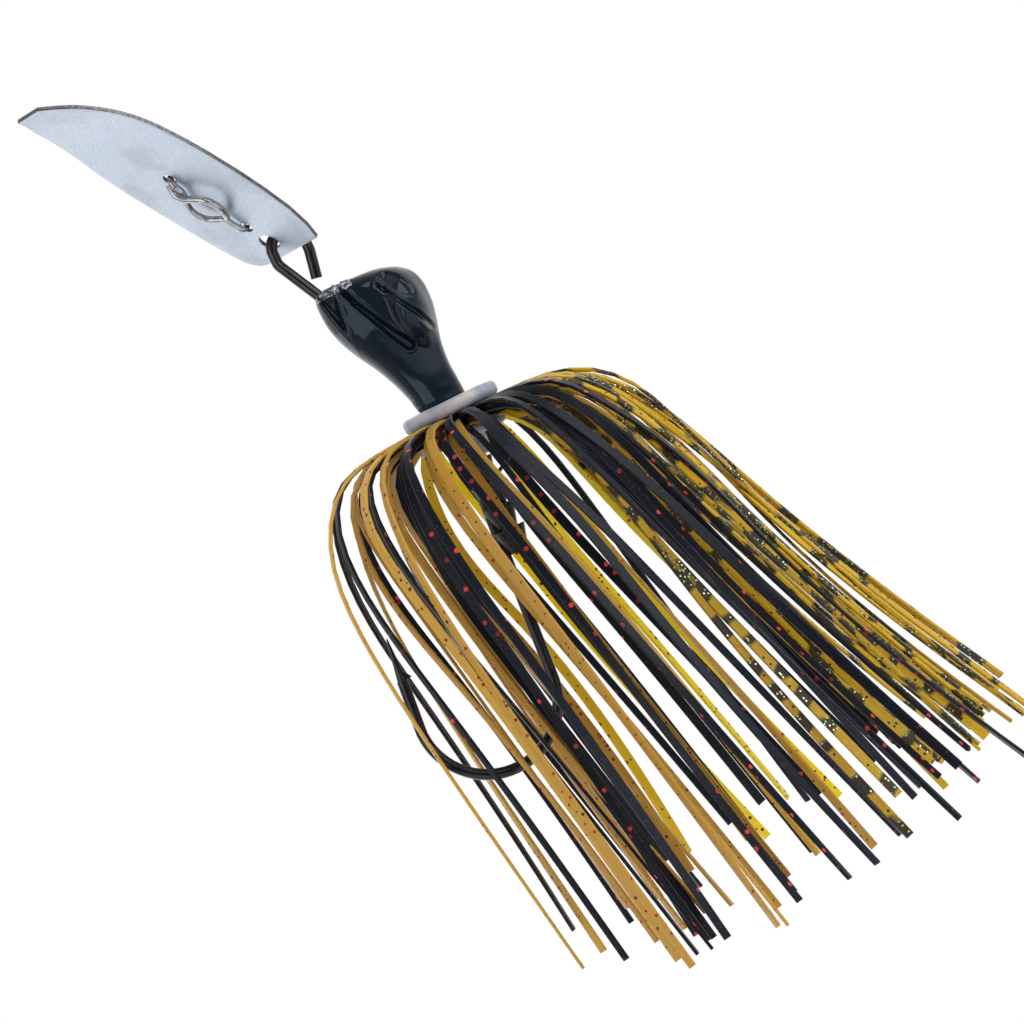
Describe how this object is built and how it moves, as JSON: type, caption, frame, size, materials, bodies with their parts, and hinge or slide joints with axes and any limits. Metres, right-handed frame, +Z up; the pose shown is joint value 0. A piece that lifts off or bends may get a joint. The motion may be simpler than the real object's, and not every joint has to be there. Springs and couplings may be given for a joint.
{
  "type": "bladed swim jig lure",
  "caption": "Fishing jig with a curled steel blade swinging on the hook's eye, a wire line-tie snap, a flared head, a barbed trailer keeper and a flanged silicone skirt.",
  "frame": {"origin": "centre of the line-tie eye, which the fishing line is knotted to", "axes": "+Z up along the line that the lure hangs from; +X from the hook-point side towards the belly side; +Y to the side away from the blade's open face"},
  "size_m": [0.0508, 0.0551, 0.1291],
  "materials": {
    "blade_steel": "satin",
    "snap_wire": "polished",
    "hook_nickel": "gloss",
    "head_paint": "gloss",
    "hub_silicone": "satin",
    "band_rubber": "satin",
    "keeper_plastic": "gloss",
    "black_silicone": "satin",
    "amber_silicone": "satin",
    "barred_silicone": "satin"
  },
  "bodies": {
    "line_tie": {"line_tie_snap": "snap_wire"},
    "blade": {"blade": "blade_steel"},
    "jig": {"clamp_band": "band_rubber", "head": "head_paint", "hook": "hook_nickel", "skirt_amber_back": "amber_silicone", "skirt_amber_back_left": "amber_silicone", "skirt_amber_far_left": "amber_silicone", "skirt_amber_front": "amber_silicone", "skirt_amber_front_left": "amber_silicone", "skirt_amber_left": "amber_silicone", "skirt_barred_back_right": "barred_silicone", "skirt_barred_front_right": "barred_silicone", "skirt_barred_right": "barred_silicone", "skirt_black_back": "black_silicone", "skirt_black_back_left": "black_silicone", "skirt_black_back_right": "black_silicone", "skirt_black_far_left": "black_silicone", "skirt_black_front": "black_silicone", "skirt_black_front_left": "black_silicone", "skirt_black_front_right": "black_silicone", "skirt_black_left": "black_silicone", "skirt_hub": "hub_silicone", "trailer_keeper": "keeper_plastic"}
  },
  "joints": [
    {"name": "snap_rock", "type": "hinge", "parent": "line_tie", "child": "blade", "pos_m": [0.00067, 0.00136, 0.00006], "axis": [-0.2084, -0.4516, 0.8675], "range_deg": [-6, 12]},
    {"name": "blade_swing", "type": "hinge", "parent": "blade", "child": "jig", "pos_m": [0.00341, 0.00536, -0.00934], "axis": [0, 0.9968, 0.0802], "range_deg": [-50, 60]}
  ]
}
